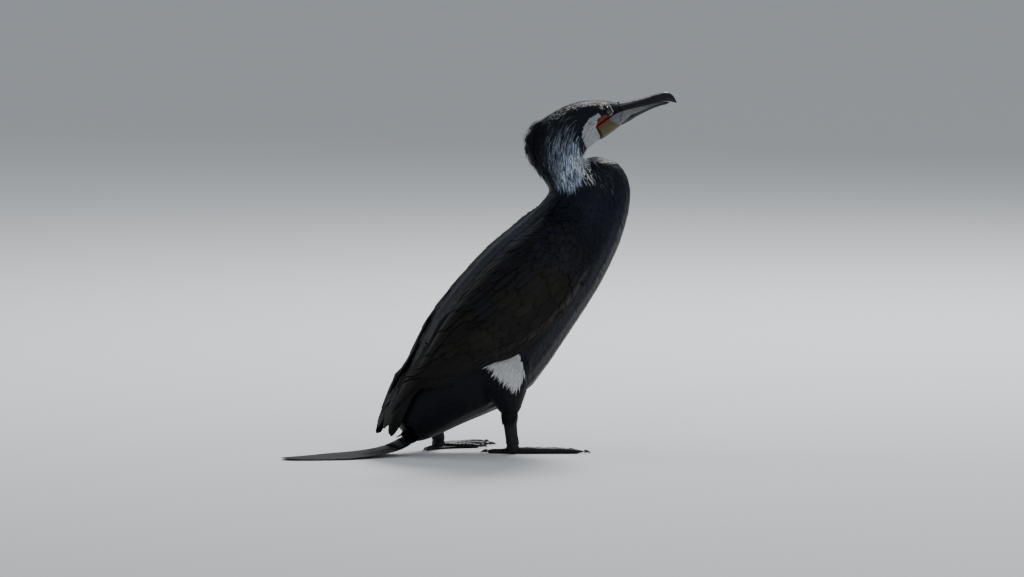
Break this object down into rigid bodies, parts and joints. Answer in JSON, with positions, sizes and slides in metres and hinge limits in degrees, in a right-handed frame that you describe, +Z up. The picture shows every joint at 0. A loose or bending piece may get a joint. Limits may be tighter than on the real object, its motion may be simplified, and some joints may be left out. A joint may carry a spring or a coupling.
{
  "type": "standing cormorant",
  "caption": "Life-size great cormorant in breeding dress, standing still with neck folded back, bill raised, wings folded and tail laid on the ground.",
  "frame": {"origin": "on the ground, under the middle of the bird's outline seen from above", "axes": "+X forwards the way the breast faces, +Y to the bird's left, +Z up"},
  "size_m": [0.5142, 0.1676, 0.4173],
  "materials": {
    "black_plumage": "blue-black feathers with a soft gloss",
    "bronze_plumage": "bronze-brown wing feathers with black edges",
    "dark_horn": "dark horn with a dull shine",
    "pale_horn": "pale grey horn with a dull shine",
    "yellow_skin": "bare olive-yellow skin, finely wrinkled",
    "black_skin": "black scaly skin, slightly glossy",
    "green_eye": "dark green, wet and glossy"
  },
  "bodies": {
    "root": {"torso": "black_plumage", "neck_lower": "black_plumage", "neck_upper": "black_plumage", "head": "black_plumage", "bill_upper": "dark_horn", "bill_lower": "pale_horn", "throat_pouch": "yellow_skin", "eye_right": "green_eye", "eye_left": "green_eye", "wing_right": "bronze_plumage", "wing_left": "bronze_plumage", "tail": "black_plumage", "thigh_right": "black_plumage", "tarsus_right": "black_skin", "foot_right": "black_skin", "claw_hallux_right": "dark_horn", "claw_inner_right": "dark_horn", "claw_middle_right": "dark_horn", "claw_outer_right": "dark_horn", "thigh_left": "black_plumage", "tarsus_left": "black_skin", "foot_left": "black_skin", "claw_hallux_left": "dark_horn", "claw_inner_left": "dark_horn", "claw_middle_left": "dark_horn", "claw_outer_left": "dark_horn"}
  },
  "joints": []
}
